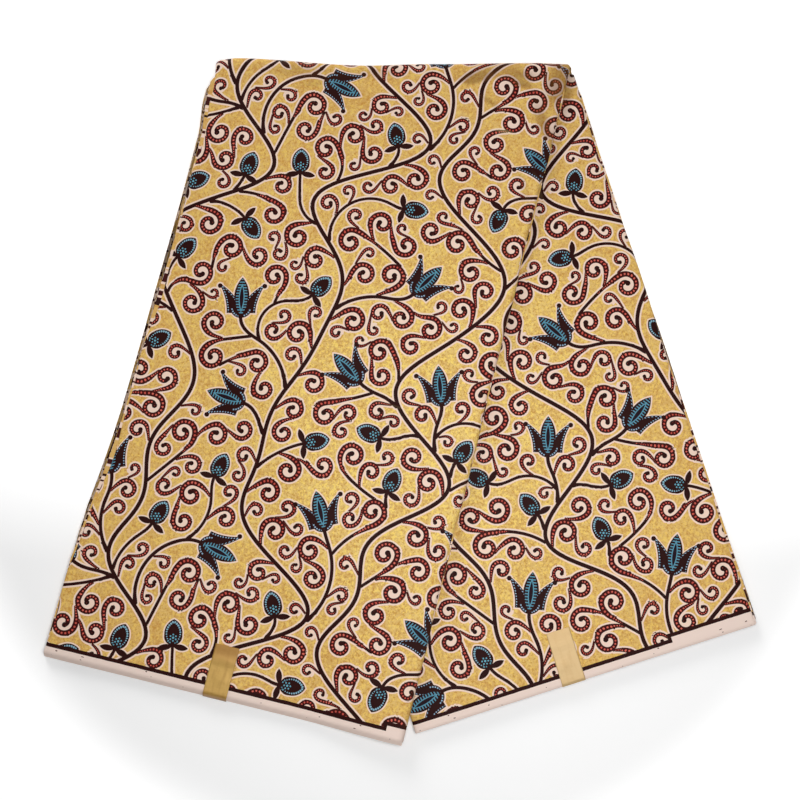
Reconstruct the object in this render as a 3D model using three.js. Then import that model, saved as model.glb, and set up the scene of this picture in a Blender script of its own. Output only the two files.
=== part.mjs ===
// A length of african wax print cotton, pleated into a long strip and laid folded in two.
// The strip turns over at the top fold, so its front half leans to the left and lies on
// its back half, which leans to the right. Millimetres, +Z up, +Y towards the top fold.
import * as THREE from 'three';
import { mergeVertices } from 'three/addons/utils/BufferGeometryUtils.js';

// Driving dimensions
const FOLD_WIDTH = 330.5; // length of the top fold, corner to corner
const HALF = 8; // height of one half of the pleated strip, lying flat
const WALL = 1.1; // top sheet of each half
const GAP = 0.3; // clearance between neighbouring pieces
const CURL = 3; // radius at which a top sheet turns down at its side edges
const OVERHANG = 20; // how far the front half runs on level past the back half's edge
const SETTLE = 75; // width over which it then comes down to the floor
const GROOVE = 0.5; // depth of the rounded edge of each group of layers
const FOLD_FADE = 60; // distance over which the waver of the top fold dies out
const LABEL_WALL = 0.6; // foil label
const LABEL_WIDTH = 21;
const LABEL_LENGTH = 47;
const LABEL_PLACES = { front: 158, back: 178 }; // middle of each label, from the outer corner
const LABEL_COLUMNS = 4; // facets across a label
const RISE = 0.06; // run of a step in the hem
const SHELF = 0.35; // spacing of the points of an ended group, laid on the next one
const THINNEST = 0.1; // least thickness of the layers where they round off
const SECOND_SWAY = 0.5; // finer wander of the side edges, as a share of the main one
const SECOND_TURNS = 2.3; // and how much quicker it turns
const EDGE_POINTS = 3; // points down the rounded edge of one group
const MERGE = 1e-3; // points nearer than this are one
const CURL_TURNS = [90, 60, 30, 0].map(THREE.MathUtils.degToRad); // facets of a side edge
const FOLD_TURNS = [-90, -65, -40, -20, 0, 20, 40, 65].map(THREE.MathUtils.degToRad);

// The two halves: side is the way each leans, lean its angle, edge its outer side's length,
// skew how much its hem is out of square. Columns and rows are the facets across and along it.
const HALVES = {
  front: {
    side: -1,
    lean: THREE.MathUtils.degToRad(13.85),
    edge: 552.5,
    skew: 0.0155,
    columns: 14,
    rows: 20,
  },
  back: {
    side: 1,
    lean: THREE.MathUtils.degToRad(17.6),
    edge: 526.5,
    skew: -0.005,
    columns: 14,
    rows: 12,
  },
};

// Waver of the top fold: where along it, and how far it stands out there.
const FOLD_WAVER = [
  { at: 0, out: 0 },
  { at: 25, out: 3 },
  { at: 140, out: -3 },
  { at: 200, out: -1 },
  { at: 300, out: 1 },
  { at: FOLD_WIDTH, out: 0 },
];

// Bow of each half's outer side: where along it, and how far it stands out of the outline.
const FRONT_BOW = [
  { at: 0, out: 2.5 },
  { at: 0.06, out: -1.5 },
  { at: 0.13, out: -6 },
  { at: 0.55, out: -5 },
  { at: 1, out: 9 },
];
const BACK_BOW = [
  { at: 0, out: 2.5 },
  { at: 0.15, out: 0.5 },
  { at: 1, out: 0.5 },
];

// Side edges of each half, from its top sheet down. Inset is the mean distance in from the
// outline, sway how much that wanders, turns how often along the edge, phase where it starts.
const EDGES = {
  front: {
    outer: [
      { inset: 5.2, sway: 1.5, turns: 3.3, phase: 0.3, bow: FRONT_BOW },
      { inset: 2.6, sway: 0.8, turns: 2.1, phase: 2.0, bow: FRONT_BOW },
      { inset: 1.4, sway: 0.7, turns: 1.4, phase: 4.1, bow: FRONT_BOW },
      { inset: 0.8, sway: 0.6, turns: 2.6, phase: 1.2, bow: FRONT_BOW },
    ],
    inner: [
      { inset: 1.3, sway: 0.9, turns: 3.7, phase: 1.0 },
      { inset: 1.8, sway: 0.7, turns: 2.2, phase: 3.0 },
      { inset: 1.2, sway: 0.6, turns: 3.1, phase: 5.0 },
      { inset: 2.2, sway: 0.6, turns: 1.7, phase: 0.4 },
    ],
  },
  back: {
    outer: [
      { inset: 2.9, sway: 1.6, turns: 1.2, phase: 1.9, bow: BACK_BOW },
      { inset: 1.3, sway: 0.8, turns: 1.9, phase: 0.2, bow: BACK_BOW },
      { inset: 0.9, sway: 0.6, turns: 2.7, phase: 3.6, bow: BACK_BOW },
      { inset: 1.7, sway: 0.7, turns: 1.5, phase: 5.2, bow: BACK_BOW },
    ],
    inner: [
      { inset: 2.4, sway: 0.9, turns: 2.8, phase: 0.7 },
      { inset: 1.6, sway: 0.7, turns: 1.8, phase: 2.6 },
      { inset: 1.1, sway: 0.6, turns: 3.4, phase: 4.4 },
      { inset: 1.9, sway: 0.6, turns: 2.3, phase: 1.5 },
    ],
  },
};

// How far each group of layers ends short of the hem line, from the top group down. The top
// sheet's own figure is first. Round the fold the outermost layers travel furthest.
const HEM_STEPS = {
  front: [8, 6.4, 4.5, 2.4, 0],
  back: [0, 1.4, 3, 5, 8],
};

// Heights of the groups of layers in a half, from the top down.
const GROUPS = [
  { top: HALF - WALL - GAP, bottom: HALF - CURL - THINNEST },
  { top: 4.6, bottom: 3.2 },
  { top: 3.1, bottom: 1.6 },
  { top: 1.5, bottom: 0 },
];

const HEM_DEPTH = 8.2; // depth of the stepped hem
const ROUND = HALF + GAP / 2; // outer radius of the top fold
const NEST = ROUND - WALL - 1.5 * GAP; // radius of the layers inside it
const PAST_ROUND = ROUND + GAP + RISE; // distance back from the fold at which it is over
const STACK = GROUPS[0].top; // height of the hidden layers in a half

// Depths of the hidden layers' sections inside the top fold, from their nose.
const NOSE = [0.15, 1, 2.6, 4.6, NEST];

const smooth = (t) => THREE.MathUtils.smoothstep(t, 0, 1);

// How far a line stands out at a place along it, from a table of such places.
function standsOut(table, place) {
  const at = THREE.MathUtils.clamp(place, 0, table.at(-1).at);
  const next = 1 + table.slice(1).findIndex((row) => row.at >= at);
  const a = table[next - 1];
  const b = table[next];
  return a.out + (b.out - a.out) * smooth((at - a.at) / (b.at - a.at));
}

// Distance in from the outline of one edge row, a share along the edge.
function inset(row, along) {
  const turn = 2 * Math.PI * row.turns * along + row.phase;
  const wander = Math.sin(turn) + SECOND_SWAY * Math.sin(SECOND_TURNS * turn);
  const bow = row.bow ? standsOut(row.bow, along) : 0;
  return row.inset - bow + (row.sway * wander) / (1 + SECOND_SWAY);
}

// How far the top fold stands out of its straight line at x.
const foldWaver = (x) => standsOut(FOLD_WAVER, x + FOLD_WIDTH / 2);

// Hem line of a half: distance down its lean, at a distance across from its outer corner.
const hemAt = (half, across) => half.edge + across * (Math.sin(half.lean) - half.skew);

// Height that the underside of the front half lies at: on the back half, then on the floor.
function frontLevel(x, y) {
  const { side, lean, edge } = HALVES.back;
  const pastSide = (-side * FOLD_WIDTH) / 2 - y * Math.tan(lean) - x;
  const pastHem = (x - FOLD_WIDTH / 2) * Math.sin(lean) - y * Math.cos(lean) - edge;
  const past = Math.max(pastSide * Math.cos(lean), pastHem) - OVERHANG;
  return (HALF + GAP) * (1 - smooth(past / SETTLE));
}

// Point of a half: distance across from its outer corner, along the fold, then back from
// the fold, and height over the half's own underside.
function placed(name, across, back, height) {
  const half = HALVES[name];
  const x = half.side * (FOLD_WIDTH / 2 - across + back * Math.tan(half.lean));
  const level = name === 'front' ? frontLevel(x, -back) : 0;
  const waver = foldWaver(x) * Math.exp(-back / FOLD_FADE);
  return new THREE.Vector3(x, waver - back, level + height);
}

// Closed geometry of equal rings of points, joined in order. Each end is filled cell by
// cell, so that it follows the waver of the fold. A cell lists its points' places in a ring.
function loft(rings, cells) {
  const count = rings[0].length;
  const positions = rings.flat().flatMap((p) => [p.x, p.y, p.z]);
  const index = [];
  for (let j = 0; j + 1 < rings.length; j++) {
    for (let i = 0; i < count; i++) {
      const a = j * count + i;
      const b = j * count + ((i + 1) % count);
      index.push(a, b, a + count, b, b + count, a + count);
    }
  }
  const fill = (ring, start, flip) => {
    const flat = ring.map((p) => new THREE.Vector2(p.x, p.z));
    const turned = THREE.ShapeUtils.isClockWise(flat) !== flip;
    for (const cell of cells) {
      for (const corners of THREE.ShapeUtils.triangulateShape(cell.map((i) => flat[i]), [])) {
        const [a, b, c] = corners.map((k) => start + cell[k]);
        index.push(a, turned ? b : c, turned ? c : b);
      }
    }
  };
  fill(rings[0], 0, false);
  fill(rings.at(-1), (rings.length - 1) * count, true);
  const geometry = new THREE.BufferGeometry();
  geometry.setAttribute('position', new THREE.Float32BufferAttribute(positions, 3));
  geometry.setIndex(index);
  return facingOut(mergeVertices(geometry, MERGE));
}

// Cells of a ring that runs along one face and back along the other, with as many points.
function facingCells(count) {
  return Array.from({ length: count / 2 - 1 }, (unused, i) => (
    [i, i + 1, count - 2 - i, count - 1 - i]
  ));
}

// Turns every face over if the closed geometry is inside out.
function facingOut(geometry) {
  const { position } = geometry.attributes;
  const order = geometry.index.array;
  const [a, b, c] = [new THREE.Vector3(), new THREE.Vector3(), new THREE.Vector3()];
  let volume = 0;
  for (let i = 0; i < order.length; i += 3) {
    a.fromBufferAttribute(position, order[i]);
    b.fromBufferAttribute(position, order[i + 1]);
    c.fromBufferAttribute(position, order[i + 2]);
    volume += a.dot(b.cross(c));
  }
  if (volume < 0) {
    for (let i = 0; i < order.length; i += 3) {
      [order[i + 1], order[i + 2]] = [order[i + 2], order[i + 1]];
    }
  }
  return geometry;
}

// Section of a top sheet across the strip, outer face out and inner face back, as pairs of
// distance across and drop below the sheet's top. It turns down at both side edges.
function sheetSection(from, to, columns) {
  const bend = (radius) => CURL_TURNS.map((t) => ({
    across: CURL - radius * Math.sin(t),
    drop: CURL - radius * Math.cos(t),
  }));
  const face = (radius) => {
    const drop = CURL - radius;
    const start = bend(radius).map((p) => ({ across: from + p.across, drop: p.drop }));
    const end = bend(radius).map((p) => ({ across: to - p.across, drop: p.drop })).reverse();
    const middle = [];
    for (let i = 1; i < columns; i++) {
      middle.push({ across: from + CURL + ((to - from - 2 * CURL) * i) / columns, drop });
    }
    return [...start, ...middle, ...end];
  };
  return [...face(CURL), ...face(CURL - WALL).reverse()];
}

// Distances back from the fold of a half's sections, for a point across. The first ones are
// the same all across, and the endings are measured along the lean from the hem line.
function stations(name, across, first, endings) {
  const half = HALVES[name];
  const hem = hemAt(half, across);
  const start = first.at(-1);
  const length = (hem - HEM_DEPTH) * Math.cos(half.lean) - start;
  const row = length / half.rows;
  const body = Array.from({ length: half.rows }, (unused, j) => start + row * (j + 1));
  return [...first, ...body, ...endings.map((e) => (hem - e) * Math.cos(half.lean))];
}

// Shares of the way along both side edges at each section, for their wandering insets.
function edgeShares(name, first, endings) {
  const half = HALVES[name];
  const outer = stations(name, 0, first, endings);
  const inner = stations(name, FOLD_WIDTH, first, endings);
  const reach = half.edge * Math.cos(half.lean);
  return outer.map((back, j) => ({ outer: back / reach, inner: inner[j] / reach }));
}

// Top sheet of a half. The front one also goes round the top fold, down to the floor.
function topSheet(name) {
  const half = HALVES[name];
  const edges = EDGES[name];
  const first = name === 'front' ? [ROUND, PAST_ROUND] : [ROUND + GAP, PAST_ROUND];
  const endings = [HEM_STEPS[name][0]];
  const section = (share) => sheetSection(
    inset(edges.outer[0], share.outer),
    FOLD_WIDTH - inset(edges.inner[0], share.inner),
    half.columns,
  );
  const shares = edgeShares(name, first, endings);
  const rings = [];
  if (name === 'front') {
    // Round the fold: the lower half turn belongs to the back half's lean.
    for (const turn of FOLD_TURNS) {
      const lean = turn < 0 ? -HALVES.back.lean : half.lean;
      rings.push(section(shares[0]).map(({ across, drop }) => {
        const back = ROUND - (ROUND - drop) * Math.cos(turn);
        const x = across - FOLD_WIDTH / 2 - back * Math.tan(lean);
        const y = foldWaver(x) * Math.exp(-back / FOLD_FADE) - back;
        return new THREE.Vector3(x, y, ROUND + (ROUND - drop) * Math.sin(turn));
      }));
    }
  }
  shares.forEach((share, j) => {
    rings.push(section(share).map(({ across, drop }) => (
      placed(name, across, stations(name, across, first, endings)[j], HALF - drop)
    )));
  });
  return loft(rings, facingCells(rings[0].length));
}

// Points down one side edge of the hidden layers: a rounded edge for each group. Groups that
// have ended are laid flat on the one below them, so that the hem comes down in steps.
function sidePoints(rows, share, ended, least) {
  const points = GROUPS.flatMap((group, k) => {
    const over = k === 0 ? WALL + GAP : 0;
    const edge = Math.max(least, inset(rows[k], share) + over);
    const middle = (group.top + group.bottom) / 2;
    return [
      { across: edge + (k === 0 ? CURL - WALL - GAP : GROOVE), height: group.top },
      { across: edge, height: middle },
      { across: edge + (k === 0 ? 0 : GROOVE), height: group.bottom },
    ];
  });
  const flat = EDGE_POINTS * ended;
  const { across, height } = points[flat];
  return points.map((p, i) => (i < flat ? { across: across + SHELF * (flat - i), height } : p));
}

// The same with the groups ended from the floor up, as at the back half's hem.
function raisedPoints(rows, share, ended, least) {
  const points = sidePoints(rows, share, 0, least);
  const kept = points.length - EDGE_POINTS * ended;
  const { across, height } = points[kept - 1];
  const shelf = (i) => ({ across: across + SHELF * (i - kept + 1), height });
  return points.map((p, i) => (i < kept ? p : shelf(i)));
}

// The hidden layers of a half, as one solid with layered edges and a stepped hem.
function hiddenLayers(name) {
  const half = HALVES[name];
  const edges = EDGES[name];
  const front = name === 'front';
  const steps = HEM_STEPS[name].slice(1);
  // At the hem the front half's top groups end first, and the back half's lowest ones.
  const order = front ? steps.slice(0, -1) : steps.slice(1).reverse();
  const endings = order.flatMap((step) => [step + RISE, step]);
  const ended = order.flatMap((step, k) => [k, k + 1]);
  endings.push(front ? steps.at(-1) : steps[0]);
  ended.push(order.length);
  const nose = NOSE.map((depth) => ROUND - NEST + depth);
  const first = [...nose, ROUND + GAP, PAST_ROUND];
  // Inside the top fold every group keeps in from the side edges of the sheet round it.
  const wrap = EDGES.front;
  const shareThere = edgeShares(name, [ROUND], endings)[0];
  const tuck = (edge, around) => (
    Math.max(inset(edges[edge][0], shareThere[edge]), inset(around[0], shareThere[edge]))
    + WALL + 3 * GAP
  );
  const least = {
    outer: tuck('outer', front ? wrap.outer : wrap.inner),
    inner: tuck('inner', front ? wrap.inner : wrap.outer),
  };
  const between = (a, b) => Array.from({ length: half.columns - 1 }, (unused, i) => ({
    across: a.across + ((b.across - a.across) * (i + 1)) / half.columns,
    height: a.height,
  }));
  const side = front ? sidePoints : raisedPoints;
  const shares = edgeShares(name, first, endings);
  const rings = shares.map((share, j) => {
    const gone = ended[j - (shares.length - endings.length)] ?? 0;
    const tucked = j + 1 < first.length;
    const outer = side(edges.outer, share.outer, gone, tucked ? least.outer : 0);
    const inner = side(edges.inner, share.inner, gone, tucked ? least.inner : 0)
      .map((p) => ({ across: FOLD_WIDTH - p.across, height: p.height }));
    const ring = [
      ...outer,
      ...between(outer.at(-1), inner.at(-1)),
      ...inner.toReversed(),
      ...between(inner[0], outer[0]),
    ];
    return ring.map(({ across, height }) => {
      const back = stations(name, across, first, endings)[j];
      return placed(name, across, back, nested(front, back, height));
    });
  });
  return loft(rings, layerCells(EDGE_POINTS * GROUPS.length, half.columns - 1));
}

// Cells of a ring of the hidden layers: both layered sides, and the columns between them.
function layerCells(side, middle) {
  const places = (from, length) => Array.from({ length }, (unused, i) => from + i);
  const sole = places(side, middle);
  const top = places(2 * side + middle, middle).reverse();
  const cells = sole.slice(1).map((at, i) => [sole[i], at, top[i + 1], top[i]]);
  cells.push([...places(0, side), sole[0], top[0]]);
  cells.push([...places(side + middle, side), top.at(-1), sole.at(-1)]);
  return cells;
}

// Height of a point of the hidden layers: inside the top fold they are rounded to nest in
// the sheet that goes round them.
function nested(front, back, height) {
  if (back > PAST_ROUND - RISE / 2) return height;
  const deep = Math.max(0, ROUND - back);
  const bulge = Math.sqrt(NEST * NEST - deep * deep);
  if (front) {
    const crown = Math.max(THINNEST, bulge - (HALF + GAP - ROUND));
    return height * Math.min(1, crown / STACK);
  }
  const sole = Math.min(STACK - THINNEST, ROUND - bulge);
  return sole + (height * (STACK - sole)) / STACK;
}

// A foil label: a band that lies on a half's top sheet and turns down over its hem. The
// path is given as distance back from the hem line and height, on the label's inner side.
function label(name, path) {
  const half = HALVES[name];
  const breadth = LABEL_WIDTH / Math.cos(half.lean);
  const rings = path.map((p, j) => {
    const before = path[Math.max(0, j - 1)];
    const after = path[Math.min(path.length - 1, j + 1)];
    const run = new THREE.Vector2(before.back - after.back, after.height - before.height);
    const out = new THREE.Vector2(run.y, run.x).normalize().multiplyScalar(LABEL_WALL);
    const at = (i, offset) => {
      const across = LABEL_PLACES[name] + breadth * (i / LABEL_COLUMNS - 1 / 2);
      const down = hemAt(half, across) - p.back + offset * out.x;
      return placed(name, across, down * Math.cos(half.lean), p.height + offset * out.y);
    };
    const count = { length: LABEL_COLUMNS + 1 };
    const under = Array.from(count, (unused, i) => at(i, 0));
    const over = Array.from(count, (unused, i) => at(LABEL_COLUMNS - i, 1));
    return [...under, ...over];
  });
  return loft(rings, facingCells(rings[0].length));
}

// Along the top sheet, then down over the stepped hem to just above the floor.
const FRONT_LABEL_PATH = [
  { back: LABEL_LENGTH, height: HALF + GAP },
  { back: 34, height: HALF + GAP },
  { back: 21, height: HALF + GAP },
  { back: HEM_STEPS.front[0] - GAP, height: HALF + GAP },
  { back: 4.5, height: 5.9 },
  { back: -GAP, height: 2.1 },
  { back: -GAP - 0.2, height: GAP },
];

// Along the top sheet, then straight down past the hem.
const BACK_LABEL_PATH = [
  { back: LABEL_LENGTH, height: HALF + GAP },
  { back: 34, height: HALF + GAP },
  { back: 21, height: HALF + GAP },
  { back: 8, height: HALF + GAP },
  { back: 0.4, height: HALF + GAP },
  { back: -GAP - 0.3, height: HALF - 1 },
  { back: -GAP - 0.2, height: 2.5 },
];

const printed = { color: 0xdcb75c, roughness: 0.55, metalness: 0, side: THREE.FrontSide };
const pieces = [
  { node: 'front_face', geometry: topSheet('front'), ...printed },
  { node: 'front_layers', geometry: hiddenLayers('front'), ...printed },
  { node: 'back_face', geometry: topSheet('back'), ...printed },
  { node: 'back_layers', geometry: hiddenLayers('back'), ...printed },
  {
    node: 'label_left',
    geometry: label('front', FRONT_LABEL_PATH),
    color: 0xb98a3a,
    roughness: 0.32,
    metalness: 0.7,
  },
  {
    node: 'label_right',
    geometry: label('back', BACK_LABEL_PATH),
    color: 0xd4b478,
    roughness: 0.38,
    metalness: 0.6,
  },
];

// The part stands on its underside, with its box centred over the origin.
const group = new THREE.Group();
const box = new THREE.Box3();
for (const { node, geometry, ...finish } of pieces) {
  const mesh = new THREE.Mesh(geometry, new THREE.MeshStandardMaterial(finish));
  mesh.name = node;
  group.add(mesh);
  box.expandByObject(mesh);
}
const centre = box.getCenter(new THREE.Vector3());
for (const mesh of group.children) {
  mesh.position.set(-centre.x, -centre.y, -box.min.z);
}

export default group;
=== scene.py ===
import math

import bpy
import numpy as np
from mathutils import Matrix
from mathutils.kdtree import KDTree


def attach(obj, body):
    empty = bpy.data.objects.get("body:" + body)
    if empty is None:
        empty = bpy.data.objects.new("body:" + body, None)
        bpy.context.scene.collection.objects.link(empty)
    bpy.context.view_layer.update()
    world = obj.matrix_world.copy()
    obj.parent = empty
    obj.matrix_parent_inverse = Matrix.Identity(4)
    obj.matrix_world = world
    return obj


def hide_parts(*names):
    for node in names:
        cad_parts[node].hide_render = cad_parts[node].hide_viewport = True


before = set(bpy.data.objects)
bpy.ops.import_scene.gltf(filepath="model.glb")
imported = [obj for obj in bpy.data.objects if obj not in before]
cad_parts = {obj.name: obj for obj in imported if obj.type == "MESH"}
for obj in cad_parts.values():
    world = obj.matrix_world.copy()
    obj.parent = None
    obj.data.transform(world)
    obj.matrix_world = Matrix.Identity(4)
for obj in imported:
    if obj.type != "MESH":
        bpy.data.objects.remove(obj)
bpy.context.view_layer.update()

# Sizes are in millimetres, with the top fold along y = 0, and become metres in MM.
MM = 0.001
OFFSET = np.array([-12.203, 302.430, 0.0])
FOLD_WIDTH = 330.5   # length of the top fold
HALF = 8.0           # height of one half of the pleated strip
WALL = 1.1
GAP = 0.3
CURL = 3.0           # radius at which a top sheet turns down at its sides
OVERHANG = 20.0      # how far the front half runs on level past the back half's edge
SETTLE = 75.0        # width over which it comes down to the floor
FOLD_FADE = 60.0
ROUND = HALF + GAP / 2   # outer radius of the top fold
NEST = ROUND - WALL - 1.5 * GAP
STACK = HALF - WALL - GAP
CELL = 1.5           # side of a facet of the printed sheets, and of the print's grid
PLEATS = 16          # panels under each top sheet

HALVES = {
    "front": dict(side=-1, lean=math.radians(13.85), edge=552.5, skew=0.0155, end=4.0, band=6.4),
    "back": dict(side=1, lean=math.radians(17.6), edge=526.5, skew=-0.005, end=0.0, band=7.4),
}
# Side edges of the top sheets: inset, sway, turns, phase.
EDGES = {
    "front": dict(outer=(7.6, 2.3, 3.3, 0.3), inner=(1.3, 0.9, 3.7, 1.0)),
    "back": dict(outer=(2.9, 1.6, 1.2, 1.9), inner=(2.4, 0.9, 2.8, 0.7)),
}
# Bow of the outer sides: share along, how far it stands out of the straight outline.
BOWS = {
    "front": np.array([(0, 2.5), (0.06, -1.5), (0.13, -6), (0.55, -5), (1, 9)], float),
    "back": np.array([(0, 2.5), (0.15, 0.5), (1, 0.5)], float),
}
SPREAD = 12.0   # room in a top sheet's grid for its bow
# Waver of the top fold: where along it, how far it stands out.
WAVER = np.array([(0, 0), (25, 3), (140, -3), (200, -1), (300, 1), (FOLD_WIDTH, 0)], float)


def smooth(t):
    t = np.clip(t, 0.0, 1.0)
    return t * t * (3 - 2 * t)


def ramp(low, high, x):
    return smooth((x - low) / (high - low))


def inset(row, along):
    depth, sway, turns, phase = row
    turn = 2 * math.pi * turns * along + phase
    return depth + sway * (np.sin(turn) + 0.5 * np.sin(2.3 * turn)) / 1.5


def stands_out(table, place):
    at = np.clip(place, 0, table[-1, 0])
    k = np.clip(np.searchsorted(table[:, 0], at, side="right") - 1, 0, len(table) - 2)
    t = smooth((at - table[k, 0]) / (table[k + 1, 0] - table[k, 0]))
    return table[k, 1] + (table[k + 1, 1] - table[k, 1]) * t


def fold_waver(x):
    return stands_out(WAVER, x + FOLD_WIDTH / 2)


def front_level(x, y):
    """Height of the front half's underside: on the back half, then on the floor."""
    back = HALVES["back"]
    past_side = -FOLD_WIDTH / 2 - y * math.tan(back["lean"]) - x
    past_hem = (x - FOLD_WIDTH / 2) * math.sin(back["lean"]) - y * math.cos(back["lean"]) - back["edge"]
    past = np.maximum(past_side * math.cos(back["lean"]), past_hem) - OVERHANG
    return (HALF + GAP) * (1 - smooth(past / SETTLE))


def hem_at(half, across):
    return half["edge"] + across * (math.sin(half["lean"]) - half["skew"])


def relief(x, y):
    """Broad, soft unevenness of the pile of layers."""
    wave = 0.34 * np.sin(0.021 * x + 0.008 * y + 0.6) * np.sin(0.017 * y - 0.009 * x + 1.1)
    wave = wave + 0.22 * np.sin(0.047 * x - 0.031 * y + 2.0) * np.sin(0.026 * y + 0.7)
    return wave - 0.30


def placed(name, across, back, height):
    """Points of a half: across from its outer corner, back from the fold, height over its underside."""
    half = HALVES[name]
    x = half["side"] * (FOLD_WIDTH / 2 - across + back * math.tan(half["lean"]))
    level = front_level(x, -back) if name == "front" else 0.0
    y = fold_waver(x) * np.exp(-np.maximum(back, 0) / FOLD_FADE) - back
    settled = relief(x, y) * smooth((back - 14) / 40) * np.clip(height / HALF, 0, 1)
    return np.stack([x, y, level + height + settled], axis=-1)


# ---- the print: a layout of vines, curls, buds and tulips on a repeat ----
TILE = np.array([324.0, 432.0])   # repeat across and along the cloth
STEP = 0.75                       # spacing of a vine's points
GRID = 1.0                        # the layout's own grid
FAR = 99.0                        # a distance past all others
CLEAR = 1.95                      # ground left between neighbouring vines
SEED = 11
BUD, TULIP = 1, 2
# A flower's own sizes: foot to middle, room it needs, turn from upright, stem's half width, and
# how far it keeps from others.
FLOWERS = {
    TULIP: dict(size=17.5, need=26, spread=1.2, half=1.5, apart=76),
    BUD: dict(size=11, need=16, spread=1.5, half=1.3, apart=44),
}
# Curls in falling size: outer radius, how many are tried, length of the tail.
CURLS = ((10.2, 44, 20), (9.2, 60, 16), (8.2, 80, 12), (7.2, 90, 10), (6.3, 100, 8), (5.5, 100, 7),
         (4.8, 50, 7))


def wrapped(d):
    return d - TILE * np.round(d / TILE)


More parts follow.
